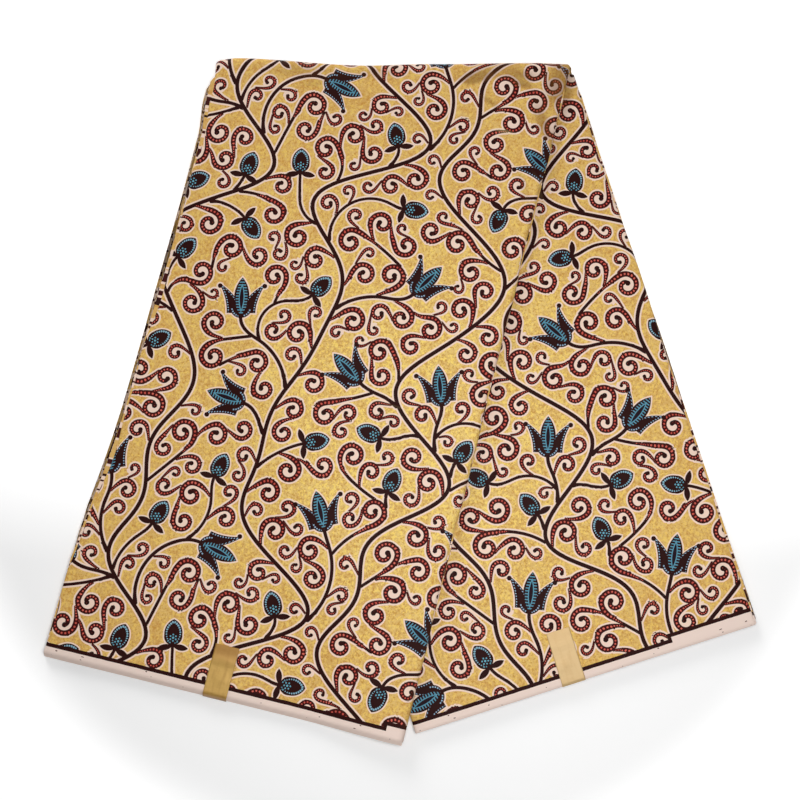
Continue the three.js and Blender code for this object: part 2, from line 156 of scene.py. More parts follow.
class Layout:
    def __init__(self):
        n = np.round(TILE / GRID).astype(int)
        self.shape = (n[0], n[1])
        self.room = np.full(self.shape, FAR)      # distance to the nearest vine's edge
        self.heading = np.zeros(self.shape)       # its direction there
        self.barred = np.zeros(self.shape, bool)  # inside a flower, where no vine starts
        self.vines = []
        self.motifs = []
        self.rng = np.random.default_rng(SEED)

    def at(self, p):
        return (np.floor(p[..., 0] / GRID).astype(int) % self.shape[0],
                np.floor(p[..., 1] / GRID).astype(int) % self.shape[1])

    def stamp(self, pts, half, heading, barred=False, reach=34):
        k = np.arange(-reach, reach + 1)
        gx, gy = np.meshgrid(k, k, indexing="ij")
        for p, h, a in zip(pts, half, heading):
            i0, j0 = int(p[0] // GRID), int(p[1] // GRID)
            d = np.hypot((i0 + gx + 0.5) * GRID - p[0], (j0 + gy + 0.5) * GRID - p[1]) - h
            ii, jj = (i0 + gx) % self.shape[0], (j0 + gy) % self.shape[1]
            win = d < self.room[ii, jj]
            self.room[ii[win], jj[win]] = d[win]
            self.heading[ii[win], jj[win]] = a
            self.barred[ii[win], jj[win]] = barred

    def add(self, pts, half, dots, closed=False):
        """Keeps a vine from its foot to its tip. dots says how far it is a dotted tendril."""
        for _ in range(0 if closed else 4):
            pts[1:-1] = (pts[:-2] + 2 * pts[1:-1] + pts[2:]) / 4
        d = np.gradient(pts, axis=0)
        angle = np.unwrap(np.arctan2(d[:, 1], d[:, 0]))
        kappa = np.gradient(angle) / np.hypot(d[:, 0], d[:, 1])
        ends = np.zeros(len(pts))
        if not closed:
            ends[0], ends[-1] = 1.0, np.where(dots[-1] > 0, 1.18, 1.0)
        self.vines.append(dict(pts=pts, angle=angle, kappa=kappa, half=half, dots=dots, ends=ends))
        self.stamp(pts[::2], half[::2], angle[::2])

    def tail(self, start, heading, bend, want, reach, half, clear, turned, bow=0.8):
        """Backs away from a curl's or flower's foot until it meets a vine. Returns the best
        way as (which candidate, its points), or None."""
        rng, tries = self.rng, len(heading)
        s = np.arange(int(reach / STEP)) * STEP
        run = rng.uniform(6, 40, tries)
        later = rng.uniform(-1, 1, tries) * rng.uniform(0.0, 1 / 9.0, tries)
        if want > 30:
            later = later * 0.45
        kappa = bend[:, None] * np.clip(1 - s / run[:, None], 0, 1)
        kappa = kappa + later[:, None] * smooth((s - run[:, None] * 0.6) / 14.0)
        angle = heading[:, None] + np.cumsum(kappa, axis=1) * STEP
        mid = angle - kappa * STEP / 2
        pts = np.stack([np.cumsum(np.cos(mid), axis=1), np.cumsum(np.sin(mid), axis=1)], axis=2)
        pts = start[:, None, :] + pts * STEP
        i, j = self.at(pts)
        room = self.room[i, j]
        meets = room < 0.3
        hit = meets.argmax(axis=1)
        best, least = None, 1e9
        for m in np.nonzero(meets.any(axis=1) & (hit > 5))[0]:
            h = hit[m]
            lead = int(7.5 / STEP)
            if self.barred[i[m, h], j[m, h]]:
                continue
            if h > lead and room[m, : h - lead].min() < clear + half:
                continue
            turn = angle[m, h] + math.pi - self.heading[i[m, h], j[m, h]]
            turn = abs((turn + math.pi) % (2 * math.pi) - math.pi)
            if turn > turned:
                continue
            bowed = np.abs(kappa[m, :h]).sum() * STEP
            score = turn * 14 + abs(h * STEP - want) * 0.35 + rng.uniform(0, 4)
            score += 9 * abs(bowed - bow)
            if score < least:
                end = min(h + 2, len(s))
                least, best = score, (m, pts[m, :end])
        return best

    def stems(self, count=3):
        """The main stems, each a closed wandering line once round the repeat."""
        rng = self.rng
        for k in range(count):
            y = np.arange(0, TILE[1], STEP)
            x0 = TILE[0] * (k + 0.5) / count + rng.uniform(-8, 8)
            size = np.array([14, 24, 16, 8]) * rng.uniform(0.8, 1.2, 4)
            phase = rng.uniform(0, 2 * math.pi, 4)
            w = 2 * math.pi / TILE[1] * np.arange(1, 5)
            x = x0 + (size[:, None] * np.sin(w[:, None] * y + phase[:, None])).sum(0)
            run = np.concatenate([[0], np.cumsum(np.hypot(np.diff(x), np.diff(y)))])
            even = np.arange(0, run[-1], STEP)
            line = np.stack([np.interp(even, run, x), np.interp(even, run, y)], axis=1)
            self.add(line, np.full(len(line), 1.75), np.zeros(len(line)), closed=True)

    def curl(self, radius, want=12.0, tries=160, spots=6):
        """One curled tendril of that outer radius, in the first gap that takes it."""
        width = 2.45 + 0.28 * radius
        need = radius + width / 2 + CLEAR
        free = (self.room > need) & (self.room < need + 2.2)
        if not free.any():
            free = self.room > need
        if not free.any():
            return False
        spot = np.argwhere(free)
        rng = self.rng
        eye = 0.42 * width + 0.25
        turns = max(0.62, (radius - eye) / (1.40 * width)) * 2 * math.pi
        phi, rad = [0.0], [eye]
        while phi[-1] < turns:
            phi.append(phi[-1] + STEP / rad[-1])
            rad.append(eye + (radius - eye) * min(1, phi[-1] / turns))
        phi, rad = np.array(phi), np.array(rad)
        for _ in range(spots):
            c = (spot[rng.integers(len(spot))] + rng.uniform(0.3, 0.7, 2)) * GRID
            sign = rng.choice([-1, 1], tries)
            out = rng.uniform(0, 2 * math.pi, tries)
            start = c + radius * np.stack([np.cos(out), np.sin(out)], axis=1)
            found = self.tail(start, out + sign * math.pi / 2, sign / radius, want, 85, width / 2,
                              CLEAR - 0.6, 0.9)
            if found is None:
                continue
            m, tail = found
            around = out[m] - sign[m] * (phi[-1] - phi)
            coil = c + rad[:, None] * np.stack([np.cos(around), np.sin(around)], axis=1)
            pts = np.concatenate([coil, tail])[::-1]
            s = np.arange(len(pts)) * STEP
            thin = ramp(s[-1] - 2 * math.pi * radius, s[-1], s)
            # A long tendril starts as a plain stem.
            plain = max(0.0, len(tail) * STEP - 26)
            half = width / 2 * (0.50 + 0.50 * ramp(plain, plain + 18, s)) * (1 - 0.25 * thin)
            half = np.maximum(half, 1.35 * (1 - ramp(plain - 4, plain + 6, s)) * (plain > 0))
            self.add(pts, half, (s >= plain).astype(float))
            return True
        return False

    def flower(self, kind, want, tries=200, spots=16):
        """A bud or a tulip on a stem of its own."""
        size, need, spread, half, apart = FLOWERS[kind].values()
        rng = self.rng
        spot = np.argwhere(self.room > need)
        if not len(spot):
            return False
        for _ in range(spots):
            c = (spot[rng.integers(len(spot))] + 0.5) * GRID
            if any(np.hypot(*wrapped(c - m["at"])) < (m["apart"] + apart) / 2 for m in self.motifs):
                continue
            head = math.pi / 2 + rng.normal(0, spread, tries)
            foot = c - np.stack([np.cos(head), np.sin(head)], axis=1) * size
            found = self.tail(foot, head + math.pi, rng.uniform(-1, 1, tries) / 13.0, want, 120, half,
                              3.2, 0.75, bow=2.4)
            if found is None:
                continue
            m, tail = found
            s = np.arange(len(tail)) * STEP
            self.add(tail[::-1].copy(), half * (1 + 0.35 * (1 - ramp(0, 10, s))), np.zeros(len(s)))
            self.motifs.append(dict(at=c, head=head[m], kind=kind, apart=apart))
            axis = np.array([math.cos(head[m]), math.sin(head[m])])
            if kind == TULIP:
                along, girth = np.array([-12, -4, 4, 12.0]), np.array([9, 14, 17, 14.0])
            else:
                along, girth = np.array([-8, -3, 3, 8.0]), np.array([9, 8, 8, 5.0])
            self.stamp(c + along[:, None] * axis, girth, np.full(4, head[m]), barred=True)
            return True
        return False


def lay_out():
    lay = Layout()
    lay.stems()
    for k in range(9):
        lay.flower(TULIP, 80 if k % 2 else 45)
    for k in range(10):
        lay.curl(10.8, 58)
    for k in range(20):
        lay.flower(BUD, 50 if k % 3 else 24)
    for radius, goes, want in CURLS:
        for _ in range(goes):
            lay.curl(radius * lay.rng.uniform(0.94, 1.06), want)
    return lay


layout = lay_out()

# All the vines' points in one table, and for each cell of the repeat the two strands nearest.
SPACING = 1.32   # of a tendril's dots, in its half widths
vines = layout.vines
V_AT = np.concatenate([v["pts"] for v in vines]) % TILE
V_ANGLE = np.concatenate([v["angle"] for v in vines])
V_KAPPA = np.concatenate([v["kappa"] for v in vines])
V_HALF = np.concatenate([v["half"] for v in vines])
V_DOTS = np.concatenate([v["dots"] for v in vines])
V_ENDS = np.concatenate([v["ends"] for v in vines])   # round ends, as a share of the half width
V_PHASE = np.concatenate([np.cumsum(STEP / (SPACING * v["half"])) for v in vines])
V_RUN = np.concatenate([k * 1e4 + np.arange(len(v["pts"])) * STEP for k, v in enumerate(vines)])
V_LEFT = np.concatenate([(len(v["pts"]) - 1 - np.arange(len(v["pts"]))) * STEP for v in vines])


def cell_owners():
    """Index of the nearest strand's point, and of the next strand's, for each cell."""
    margin = 12.0
    copies = []
    for du in (-1, 0, 1):
        for dv in (-1, 0, 1):
            at = V_AT + TILE * (du, dv)
            near = ((at > -margin) & (at < TILE + margin)).all(axis=1)
            copies.append(np.column_stack([at[near], np.nonzero(near)[0]]))
    copies = np.concatenate(copies)
    tree = KDTree(len(copies))
    for k, (x, y, _) in enumerate(copies):
        tree.insert((x, y, 0), k)
    tree.balance()
    nu, nv = np.round(TILE / CELL).astype(int)
    first = np.zeros((nu, nv), int)
    second = np.zeros((nu, nv), int)
    for i in range(nu):
        for j in range(nv):
            found = tree.find_n(((i + 0.5) * CELL, (j + 0.5) * CELL, 0), 22)
            who = copies[[f[1] for f in found], 2].astype(int)
            gap = np.array([f[2] for f in found]) - V_HALF[who] * np.maximum(V_ENDS[who], 1)
            a = gap.argmin()
            other = np.abs(V_RUN[who] - V_RUN[who[a]]) > 6.0
            first[i, j] = who[a]
            second[i, j] = who[np.where(other, gap, FAR).argmin()] if other.any() else who[a]
    return first, second


OWNER_1, OWNER_2 = cell_owners()


def strand(owner, at):
    """Signed distance across a strand, its dots' phase and its half width, at cloth points."""
    d = wrapped(at - V_AT[owner])
    angle, kappa = V_ANGLE[owner], V_KAPPA[owner]
    kappa = np.where(np.abs(kappa) < 1e-3, 1e-3, kappa)
    along = np.stack([np.cos(angle), np.sin(angle)], axis=-1)
    normal = np.stack([-along[..., 1], along[..., 0]], axis=-1)
    bow = 1 / np.abs(kappa)
    rel = d - normal / kappa[..., None]
    across = bow - np.hypot(rel[..., 0], rel[..., 1])
    turned = np.arctan2((rel * along).sum(-1), -(rel * normal).sum(-1) * np.sign(kappa))
    half = V_HALF[owner]
    phase = V_PHASE[owner] + turned * bow / (SPACING * half)
    end = V_ENDS[owner]
    # Past the middle of a tight bend, and at a round end, the distance to the point holds.
    straight = np.hypot(d[..., 0], d[..., 1])
    across = np.where(np.abs(turned) > 1.1, np.copysign(straight, across), across)
    across = np.where(end > 0, straight, across)
    return np.stack([across, phase, half * np.where(end > 0, end, 1)], axis=-1)


def strand_facts(owner, corners):
    """Extra halo on the inner side of tight bends, and whether there are dots."""
    halo = np.where(V_DOTS[owner] > 0, 3.4 * ramp(1 / 13, 1 / 7, np.abs(V_KAPPA[owner])), 0.0)
    dots = (V_DOTS[owner] > 0) & (V_LEFT[owner] > 1.8 * V_HALF[owner])
    return (np.repeat(halo[:, None], corners, axis=1), np.repeat(dots[:, None], corners, axis=1))


def flower_coordinates(cells, at):
    """Coordinates of cloth points in the flower that holds their cell, and its kind."""
    out = np.zeros(at.shape[:-1] + (3,))
    for m in layout.motifs:
        near = wrapped(cells - m["at"])
        reach = 31.0 if m["kind"] == TULIP else 20.0
        inside = np.hypot(near[:, 0], near[:, 1]) < reach
        d = wrapped(at[inside] - m["at"])
        c, s = math.cos(m["head"]), math.sin(m["head"])
        out[inside, :, 0] = d[..., 1] * c - d[..., 0] * s
        out[inside, :, 1] = d[..., 0] * c + d[..., 1] * s
        out[inside, :, 2] = m["kind"]
    return out


# ---- meshes ----
def new_mesh(name, points, faces):
    mesh = bpy.data.meshes.new(name)
    mesh.from_pydata((np.asarray(points) + OFFSET) * MM, [], faces)
    mesh.update()
    obj = bpy.data.objects.new(name, mesh)
    bpy.context.scene.collection.objects.link(obj)
    return obj


def store(mesh, name, domain, values):
    """Keeps three numbers for each point or corner, for the materials."""
    layer = mesh.attributes.new(name, "FLOAT_VECTOR", domain)
    layer.data.foreach_set("vector", np.ascontiguousarray(values, dtype=np.float32).ravel())


def finish_mesh(obj, material):
    obj.data.materials.append(material)
    obj.data.polygons.foreach_set("use_smooth", [True] * len(obj.data.polygons))
    obj.data.update()


# Small creases of the top sheets: middle x, y, direction in degrees, half length, half width, rise.
CREASES = [
    (68, -52, -27, 12, 3.0, 1.3), (102, -66, -19, 14, 3.0, 1.2), (76, -17, 20, 10, 3.6, -1.2),
    (119, -22, -12, 10, 3.6, -1.2), (89, -38, -35, 12, 3.4, -1.1), (5, -316, -14, 40, 2.2, 0.6),
    (152, -22, 80, 24, 12, -1.6), (80, -14, 10, 22, 7, -1.2), (118, -13, -5, 16, 6, -1.2),
    (138, -60, -70, 26, 7, -1.2), (-85, -12, 0, 34, 8, -0.8), (112, -96, -30, 16, 4.0, 0.7),
    (-10, -14, 0, 30, 7, -0.7), (120, -118, -76, 34, 5, -0.7), (104, -180, -76, 40, 5, -0.6),
    (-70, -24, 8, 16, 4.5, -0.6), (-20, -30, -10, 14, 4.0, 0.5), (-120, -60, 65, 18, 4.0, 0.5),
    (28, -84, -30, 13, 3.2, 0.5), (135, -120, -70, 20, 3.2, 0.6), (140, -190, -75, 22, 3.6, 0.5),
    (-60, -430, 5, 34, 4.0, 0.3), (-160, -250, 72, 26, 4.2, 0.4), (190, -330, -66, 28, 3.4, 0.4),
    (230, -430, -8, 24, 3.6, 0.35), (170, -210, -62, 20, 3.0, 0.45),
]


def creased(x, y):
    total = np.zeros_like(x)
    for cx, cy, degrees, length, width, rise in CREASES:
        c, s = math.cos(math.radians(degrees)), math.sin(math.radians(degrees))
        u = ((x - cx) * c + (y - cy) * s) / length
        v = (-(x - cx) * s + (y - cy) * c) / width
        total = total + rise * np.exp(-u * u - v * v)
    return total


QUARTER = CURL * math.pi / 2
DEEPEST = 0.9   # past this a hollow deepens little, to clear the layers below


def sheet_points(name, a, s):
    """Points of a top sheet: a is the cloth's own distance in from the turned-down outer edge,
    s its distance up from the hem's edge."""
    half, edges = HALVES[name], EDGES[name]
    lean = half["lean"]
    reach = half["edge"] * math.cos(lean)
    wide = FOLD_WIDTH * math.cos(lean)

    def back_of(perp):
        return (hem_at(half, perp / math.cos(lean)) - half["end"] - s) * math.cos(lean)

    share = np.clip(back_of(np.zeros_like(a)) / reach, 0, 1)
    low = (inset(edges["outer"], share) - stands_out(BOWS[name], share)) * math.cos(lean)
    share = np.clip(back_of(np.full_like(a, wide)) / reach, 0, 1)
    high = wide - inset(edges["inner"], share) * math.cos(lean)
    # The cloth's coordinate runs straight on in the middle, and round the curl at each side.
    start = CURL - QUARTER - SPREAD
    perp = a + start
    q = perp - low + QUARTER - CURL
    r = high - perp + QUARTER - CURL
    clipped = a + np.maximum(0, -q) - np.maximum(0, -r)
    q, r = np.maximum(q, 0), np.maximum(r, 0)
    turn = np.where(q < QUARTER, q / CURL, math.pi / 2)
    perp = np.where(q < QUARTER, low + CURL - CURL * np.cos(turn), perp)
    drop = np.where(q < QUARTER, CURL - CURL * np.sin(turn), 0.0)
    turn = np.where(r < QUARTER, r / CURL, math.pi / 2)
    perp = np.where(r < QUARTER, high - CURL + CURL * np.cos(turn), perp)
    drop = np.where(r < QUARTER, CURL - CURL * np.sin(turn), drop)
    across = perp / math.cos(lean)
    back = back_of(perp)
    lip = 0.9 * (1 - np.sqrt(np.clip(1 - (1 - np.clip(s / 2.2, 0, 1)) ** 2, 0, 1)))
    flat = smooth((s - 2) / 12)
    points = placed(name, across, np.maximum(back, ROUND if name == "front" else ROUND + GAP),
                    HALF - drop - lip)
    free = np.clip(drop / CURL, 0, 1)
    rise = creased(points[..., 0], points[..., 1])
    kept = np.where(rise < -DEEPEST, -DEEPEST - 0.2 * (1 - np.exp(rise + DEEPEST)), rise)
    points[..., 2] += kept * (1 - free) * flat
    if name == "front":
        round_ = back < ROUND
        theta = np.clip((ROUND - back) / ROUND, 0, math.pi)
        radius = ROUND - drop
        deep = ROUND - radius * np.sin(theta)
        x = np.where(theta < math.pi / 2, across - FOLD_WIDTH / 2 - deep * math.tan(lean),
                     across - FOLD_WIDTH / 2 + deep * math.tan(HALVES["back"]["lean"]))
        y = fold_waver(x) * np.exp(-deep / FOLD_FADE) - deep
        z = ROUND + radius * np.cos(theta)
        bend = np.stack([x, y, z], axis=-1)
        points = np.where(round_[..., None], bend, points)
        beyond = np.maximum(0, ROUND * (1 - math.pi) - back)
    else:
        beyond = np.maximum(0, (ROUND + GAP) - back)
    return points, clipped, s + beyond / math.cos(lean), q, r, beyond, rise


def printed_sheet(name, shown):
    """A top sheet as a grid of cells that are the print's own cells."""
    half = HALVES[name]
    wide = FOLD_WIDTH * math.cos(half["lean"]) + 2 * (QUARTER - CURL) + SPREAD
    long = half["edge"] + FOLD_WIDTH * math.sin(half["lean"]) + 40
    nu, nv = int(math.ceil(wide / CELL)) + 1, int(math.ceil(long / CELL)) + 1
    a, s = np.meshgrid(np.arange(nu) * CELL, np.arange(nv) * CELL, indexing="ij")
    points, cloth_a, cloth_s, q, r, beyond, rise = sheet_points(name, a, s)
    gone = (q <= 0) | (r <= 0) | (beyond > 0)
    dead = gone[:-1, :-1] & gone[1:, :-1] & gone[1:, 1:] & gone[:-1, 1:]
    alive = ~dead
    centre = (points[:-1, :-1] + points[1:, 1:]) / 2
    fine = alive & shown(centre[..., 0], centre[..., 1])
    ci, cj = np.nonzero(fine)
    index = np.arange(nu * nv).reshape(nu, nv)
    ring = [(0, 0), (1, 0), (1, 1), (0, 1)]
    faces = np.stack([index[ci + di, cj + dj] for di, dj in ring], axis=1)
    if half["side"] > 0:
        faces, ring = faces[:, ::-1], ring[::-1]
    # Cells that another piece hides are joined into larger ones.
    BLOCK = 4
    cu, cv = nu // BLOCK, nv // BLOCK
    hidden = np.zeros((cu, cv), bool)
    for i in range(cu):
        for j in range(cv):
            block = (slice(i * BLOCK, (i + 1) * BLOCK), slice(j * BLOCK, (j + 1) * BLOCK))
            hidden[i, j] = (alive & ~fine)[block].any()
    hi, hj = np.nonzero(hidden)
    last_u, last_v = nu - 1, nv - 1
    big = np.stack([index[np.minimum((hi + di) * BLOCK, last_u), np.minimum((hj + dj) * BLOCK, last_v)]
                    for di, dj in ring], axis=1)
    all_faces = np.concatenate([faces, big])
    used, remap = np.unique(all_faces, return_inverse=True)
    remap = remap.reshape(all_faces.shape)
    flat_points = points.reshape(-1, 3)[used]
    cloth = np.stack([cloth_a.ravel()[used], cloth_s.ravel()[used]], axis=1)
    obj = new_mesh("cloth_" + name, flat_points, remap.tolist())
    cells = np.concatenate([np.stack([ci, cj], axis=1), np.stack([hi, hj], axis=1) * BLOCK])
    shift = PRINT_SHIFT[name]
    corner = cloth[remap] + shift
    middle = (cells + 0.5) * CELL + shift
    tile = np.round(TILE / CELL).astype(int)
    cell = np.floor(middle / CELL).astype(int)
    first = OWNER_1[cell[:, 0] % tile[0], cell[:, 1] % tile[1]]
    second = OWNER_2[cell[:, 0] % tile[0], cell[:, 1] % tile[1]]
    mesh = obj.data
    store(mesh, "strand_1", "CORNER", strand(np.repeat(first[:, None], 4, axis=1), corner))
    store(mesh, "strand_2", "CORNER", strand(np.repeat(second[:, None], 4, axis=1), corner))
    halo_1, dots_1 = strand_facts(first, 4)
    halo_2, dots_2 = strand_facts(second, 4)
    store(mesh, "facts", "CORNER", np.stack([halo_1, halo_2, dots_1 + 2.0 * dots_2], axis=-1))
    store(mesh, "flower", "CORNER", flower_coordinates(middle % TILE, corner))
    if name == "front":
        into_box = cloth[:, 0] - (wide - BOX_LENGTH[name])
        in_from_fold = wide - cloth[:, 0]
    else:
        into_box = BOX_LENGTH[name] + SPREAD - cloth[:, 0]
        in_from_fold = np.full(len(cloth), FAR)
    store(mesh, "cloth", "POINT", np.column_stack([cloth + (0, SELVEDGE - half["band"]), into_box]))
    # Painted light: its share at each point, 1 at the lit middle and falling off outwards.
    off = flat_points[:, :2] - PAINTED_LIGHT_SPOT
    painted_light = np.exp(-(np.hypot(off[:, 0], off[:, 1]) / PAINTED_LIGHT_REACH) ** 2)
    # Kept for each point: distance in from the front half's fold, crease rise, and the painted light's
    # share, which all drive painted shade in the print.
    store(mesh, "fold", "POINT", np.column_stack([in_from_fold, rise.ravel()[used], painted_light]))
    uv = mesh.uv_layers.new(name="UVMap")
    spread = np.array([wide + 2, long + 2])
    uv.data.foreach_set("uv", ((cloth[remap] + 1) / spread).astype(np.float32).ravel())
    return obj


PRINT_SHIFT = {"front": np.array([-6.0, 0.0]), "back": np.array([144.0, 96.0])}
SELVEDGE, STRIPE, BOX_STEP = 7.4, 3.3, 4.8   # bare band, dark line, and its step at a box
BOX_LENGTH = {"front": 19.0, "back": 79.0}   # of the bare box at the hem's end
PAINTED_LIGHT_SPOT = np.array([25.0, -330.0])       # middle of the painted light: the gold is painted darker away from it, as the light falls off
PAINTED_LIGHT_REACH = 210


# ---- shader helper ----
class Value:
    """One output of a shader node, with arithmetic that adds nodes."""

    def __init__(self, tree, socket):
        self.tree, self.socket = tree, socket

    def op(self, kind, *others):
        node = self.tree.nodes.new("ShaderNodeMath")
        node.operation = kind
        for place, item in zip(node.inputs, (self,) + others):
            feed(self.tree, item, place)
        return Value(self.tree, node.outputs[0])

    def __add__(self, o): return self.op("ADD", o)
    def __sub__(self, o): return self.op("SUBTRACT", o)
    def __rsub__(self, o): return self.op("MULTIPLY", -1.0) + o
    def __mul__(self, o): return self.op("MULTIPLY", o)
    def __rmul__(self, o): return self.op("MULTIPLY", o)
    def __truediv__(self, o): return self.op("DIVIDE", o)
    def __lt__(self, o): return self.op("LESS_THAN", o)
    def __gt__(self, o): return self.op("GREATER_THAN", o)
    def __abs__(self): return self.op("ABSOLUTE")
    def least(self, o): return self.op("MINIMUM", o)
    def most(self, o): return self.op("MAXIMUM", o)
    def frac(self): return self.op("FRACT")
    def root(self): return self.op("SQRT")
    def atan2(self, o): return self.op("ARCTAN2", o)

    def ramp(self, low, high, to_low=0.0, to_high=1.0):
        node = self.tree.nodes.new("ShaderNodeMapRange")
        node.interpolation_type = "SMOOTHSTEP"
        for place, item in zip(node.inputs, (self, low, high, to_low, to_high)):
            feed(self.tree, item, place)
        return Value(self.tree, node.outputs[0])


def feed(tree, item, place):
    if isinstance(item, Value):
        tree.links.new(item.socket, place)
    else:
        place.default_value = item


def long_side(x, y):
    return (x * x + y * y).root()


def pick(flag, yes, no):
    """yes where flag is 1, no where it is 0."""
    return no + flag * (yes - no)


def linear(rgb):
    return tuple(v / 12.92 if v <= 0.04045 else ((v + 0.055) / 1.055) ** 2.4
                 for v in (c / 255 for c in rgb)) + (1.0,)


class Paint:
    """A material's tree, and its colour as it is built up layer on layer."""

    def __init__(self, name, roughness, metallic=0.0, specular=0.5):
        self.material = bpy.data.materials.new(name)
        self.material.use_nodes = True
        self.tree = self.material.node_tree
        self.shader = self.tree.nodes["Principled BSDF"]
        self.shader.inputs["Roughness"].default_value = roughness
        self.shader.inputs["Metallic"].default_value = metallic
        self.shader.inputs["Specular IOR Level"].default_value = specular
        self.colour = None

    def attribute(self, name):
        node = self.tree.nodes.new("ShaderNodeAttribute")
        node.attribute_name = name
        split = self.tree.nodes.new("ShaderNodeSeparateXYZ")
        self.tree.links.new(node.outputs["Vector"], split.inputs[0])
        return [Value(self.tree, split.outputs[k]) for k in range(3)]

    def place(self, x, y, z=0.0):
        node = self.tree.nodes.new("ShaderNodeCombineXYZ")
        for item, socket in zip((x, y, z), node.inputs):
            feed(self.tree, item, socket)
        return node.outputs[0]

    def noise(self, at, scale, detail=2.0, rough=0.5):
        node = self.tree.nodes.new("ShaderNodeTexNoise")
        self.tree.links.new(at, node.inputs["Vector"])
        node.inputs["Scale"].default_value = scale
        node.inputs["Detail"].default_value = detail
        node.inputs["Roughness"].default_value = rough
        return Value(self.tree, node.outputs[0])

    def start(self, rgb):
        node = self.tree.nodes.new("ShaderNodeRGB")
        node.outputs[0].default_value = linear(rgb)
        self.colour = node.outputs[0]

    def over(self, mask, rgb):
        """Lays a colour over what is there, where mask is 1."""
        node = self.tree.nodes.new("ShaderNodeMix")
        node.data_type = "RGBA"
        feed(self.tree, mask, node.inputs["Factor"])
        self.tree.links.new(self.colour, node.inputs[6])
        node.inputs[7].default_value = linear(rgb)
        self.colour = node.outputs[2]

    def done(self):
        self.tree.links.new(self.colour, self.shader.inputs["Base Color"])
        return self.material

    def bump(self, height, strength, distance):
        node = self.tree.nodes.new("ShaderNodeBump")
        node.inputs["Strength"].default_value = strength
        node.inputs["Distance"].default_value = distance
        feed(self.tree, height, node.inputs["Height"])
        self.tree.links.new(node.outputs[0], self.shader.inputs["Normal"])


# Colours of the print.
GOLD, GOLD_PALE, GOLD_DEEP = (218, 177, 104), (242, 214, 134), (200, 140, 68)
CREAM, WHITE = (240, 212, 194), (238, 216, 204)
DARK, MAROON, ROSE, RUST = (44, 15, 12), (64, 18, 16), (214, 104, 88), (182, 60, 50)
BLUE, SKY, SOLE, SEED_BLUE = (90, 148, 170), (134, 176, 194), (92, 150, 168), (104, 170, 190)
SLIT, PETAL_DOTS = (34, 17, 26), (150, 180, 205)
OCHRE, STRAW = (196, 138, 48), (252, 222, 118)                    # the ground's fine grain
STRAY = (96, 62, 52)                                              # dye spots on the selvedge
# Painted shade along the front half's fold and in crease hollows, and a painted highlight on crease
# ridges.
FOLD_SHADE, HOLLOW_SHADE, RIDGE_HIGHLIGHT = (96, 58, 30), (112, 68, 26), (246, 222, 150)
HALO = 1.5   # cream line round the vines
FOLD_SHADE_WIDTH = 9.0   # of the painted shade along the front half's fold


def pointed(u, v, half, radius):
    """Distance to a pointed oval along v."""
    big = (half * half + radius * radius) / (2 * radius)
    return long_side(abs(u) + (big - radius), v) - big


def beads(u, v, half, radius, deep, pitch):
    """Distance to a row of beads inside a pointed oval's side."""
    big = (half * half + radius * radius) / (2 * radius)
    x = abs(u) + (big - radius)
    run = v.atan2(x) * (big / pitch)
    step = (run.frac() - 0.5) * pitch
    return long_side(long_side(x, v) - (big - deep), step)


def paint_bud(p, u, v, here, bare):
    body = pointed(u, v, 12.0, 7.9).least(long_side(u, v + 2.6) - 7.9)
    side = abs(u)
    leaf = pointed(v + 11.2 + side * 0.14, side - 6.9, 4.5, 1.35) - 1.3
    shape = body.least(leaf)
    p.over((shape < 1.2) * here * bare, CREAM)
    p.over((shape < 0.0) * here, DARK)
    rim = beads(u, v, 12.0, 7.9, 1.9, 2.35) < v.ramp(-6, 9, 0.56, 0.98)
    p.over(rim * (body < -0.3) * (v > -6.5) * here, SKY)
    sole = (abs(long_side(u, v + 2.6) - 6.0) < 0.55) * (((u.atan2(v + 2.6) * 2.7).frac() - 0.5) < 0.1)
    p.over(sole * (v < -6.5) * (side > 1.5) * here, SOLE)
    around = u.atan2(v + 3.9) * (3.0 / math.pi)
    off = (around + 0.5).frac() - 0.5
    r = long_side(u, v + 3.9)
    ring = long_side(r - 2.7, off * (math.pi / 3.0) * r) < 0.70
    p.over(ring.most(r < 0.95) * here, SEED_BLUE)


def paint_tulip(p, u, v, here, bare):
    side = abs(u)
    centre = pointed(u, v - 0.5, 17.5, 6.8)
    cup = long_side(u, v + 8.5) - 9.9
    # Two broad side petals, which curve out to hooked tips.
    rise = (v + 14).most(0.0)
    out = side - 6.6 - rise * rise * 0.0195
    girth = 6.3 - rise * rise * 0.0083
    petal = (abs(out) - girth).most(v - 11.0).most(-14.0 - v)
    ball = long_side(side - 20.0, v - 10.6) - 2.1
    shape = centre.least(cup).least(petal).least(ball)
    p.over((shape < 1.3) * here * bare, CREAM)
    p.over((shape < 0.0) * here, DARK)
    slit = pointed(u, v + 0.5, 10.5, 1.7)
    rays = (abs(((v + 40.0) / 2.5).frac() - 0.5) < 0.20) * (slit < 3.5)
    p.over((slit < 0.85).most(rays) * (centre < -0.7) * here, BLUE)
    p.over((slit < 0.0) * here, SLIT)
    step = (((v + 40.0) / 2.3).frac() - 0.5) * 2.3
    row = (long_side(abs(out) - (girth - 1.4), step) < 0.56) * (petal < -0.7)
    base = (abs(cup + 1.6) < 0.6) * (((u.atan2(v + 9.0) * 3.6).frac() - 0.5) < 0.05) * (v < -10.0)
    p.over(row.most(base) * (slit > 4.2) * here, PETAL_DOTS)


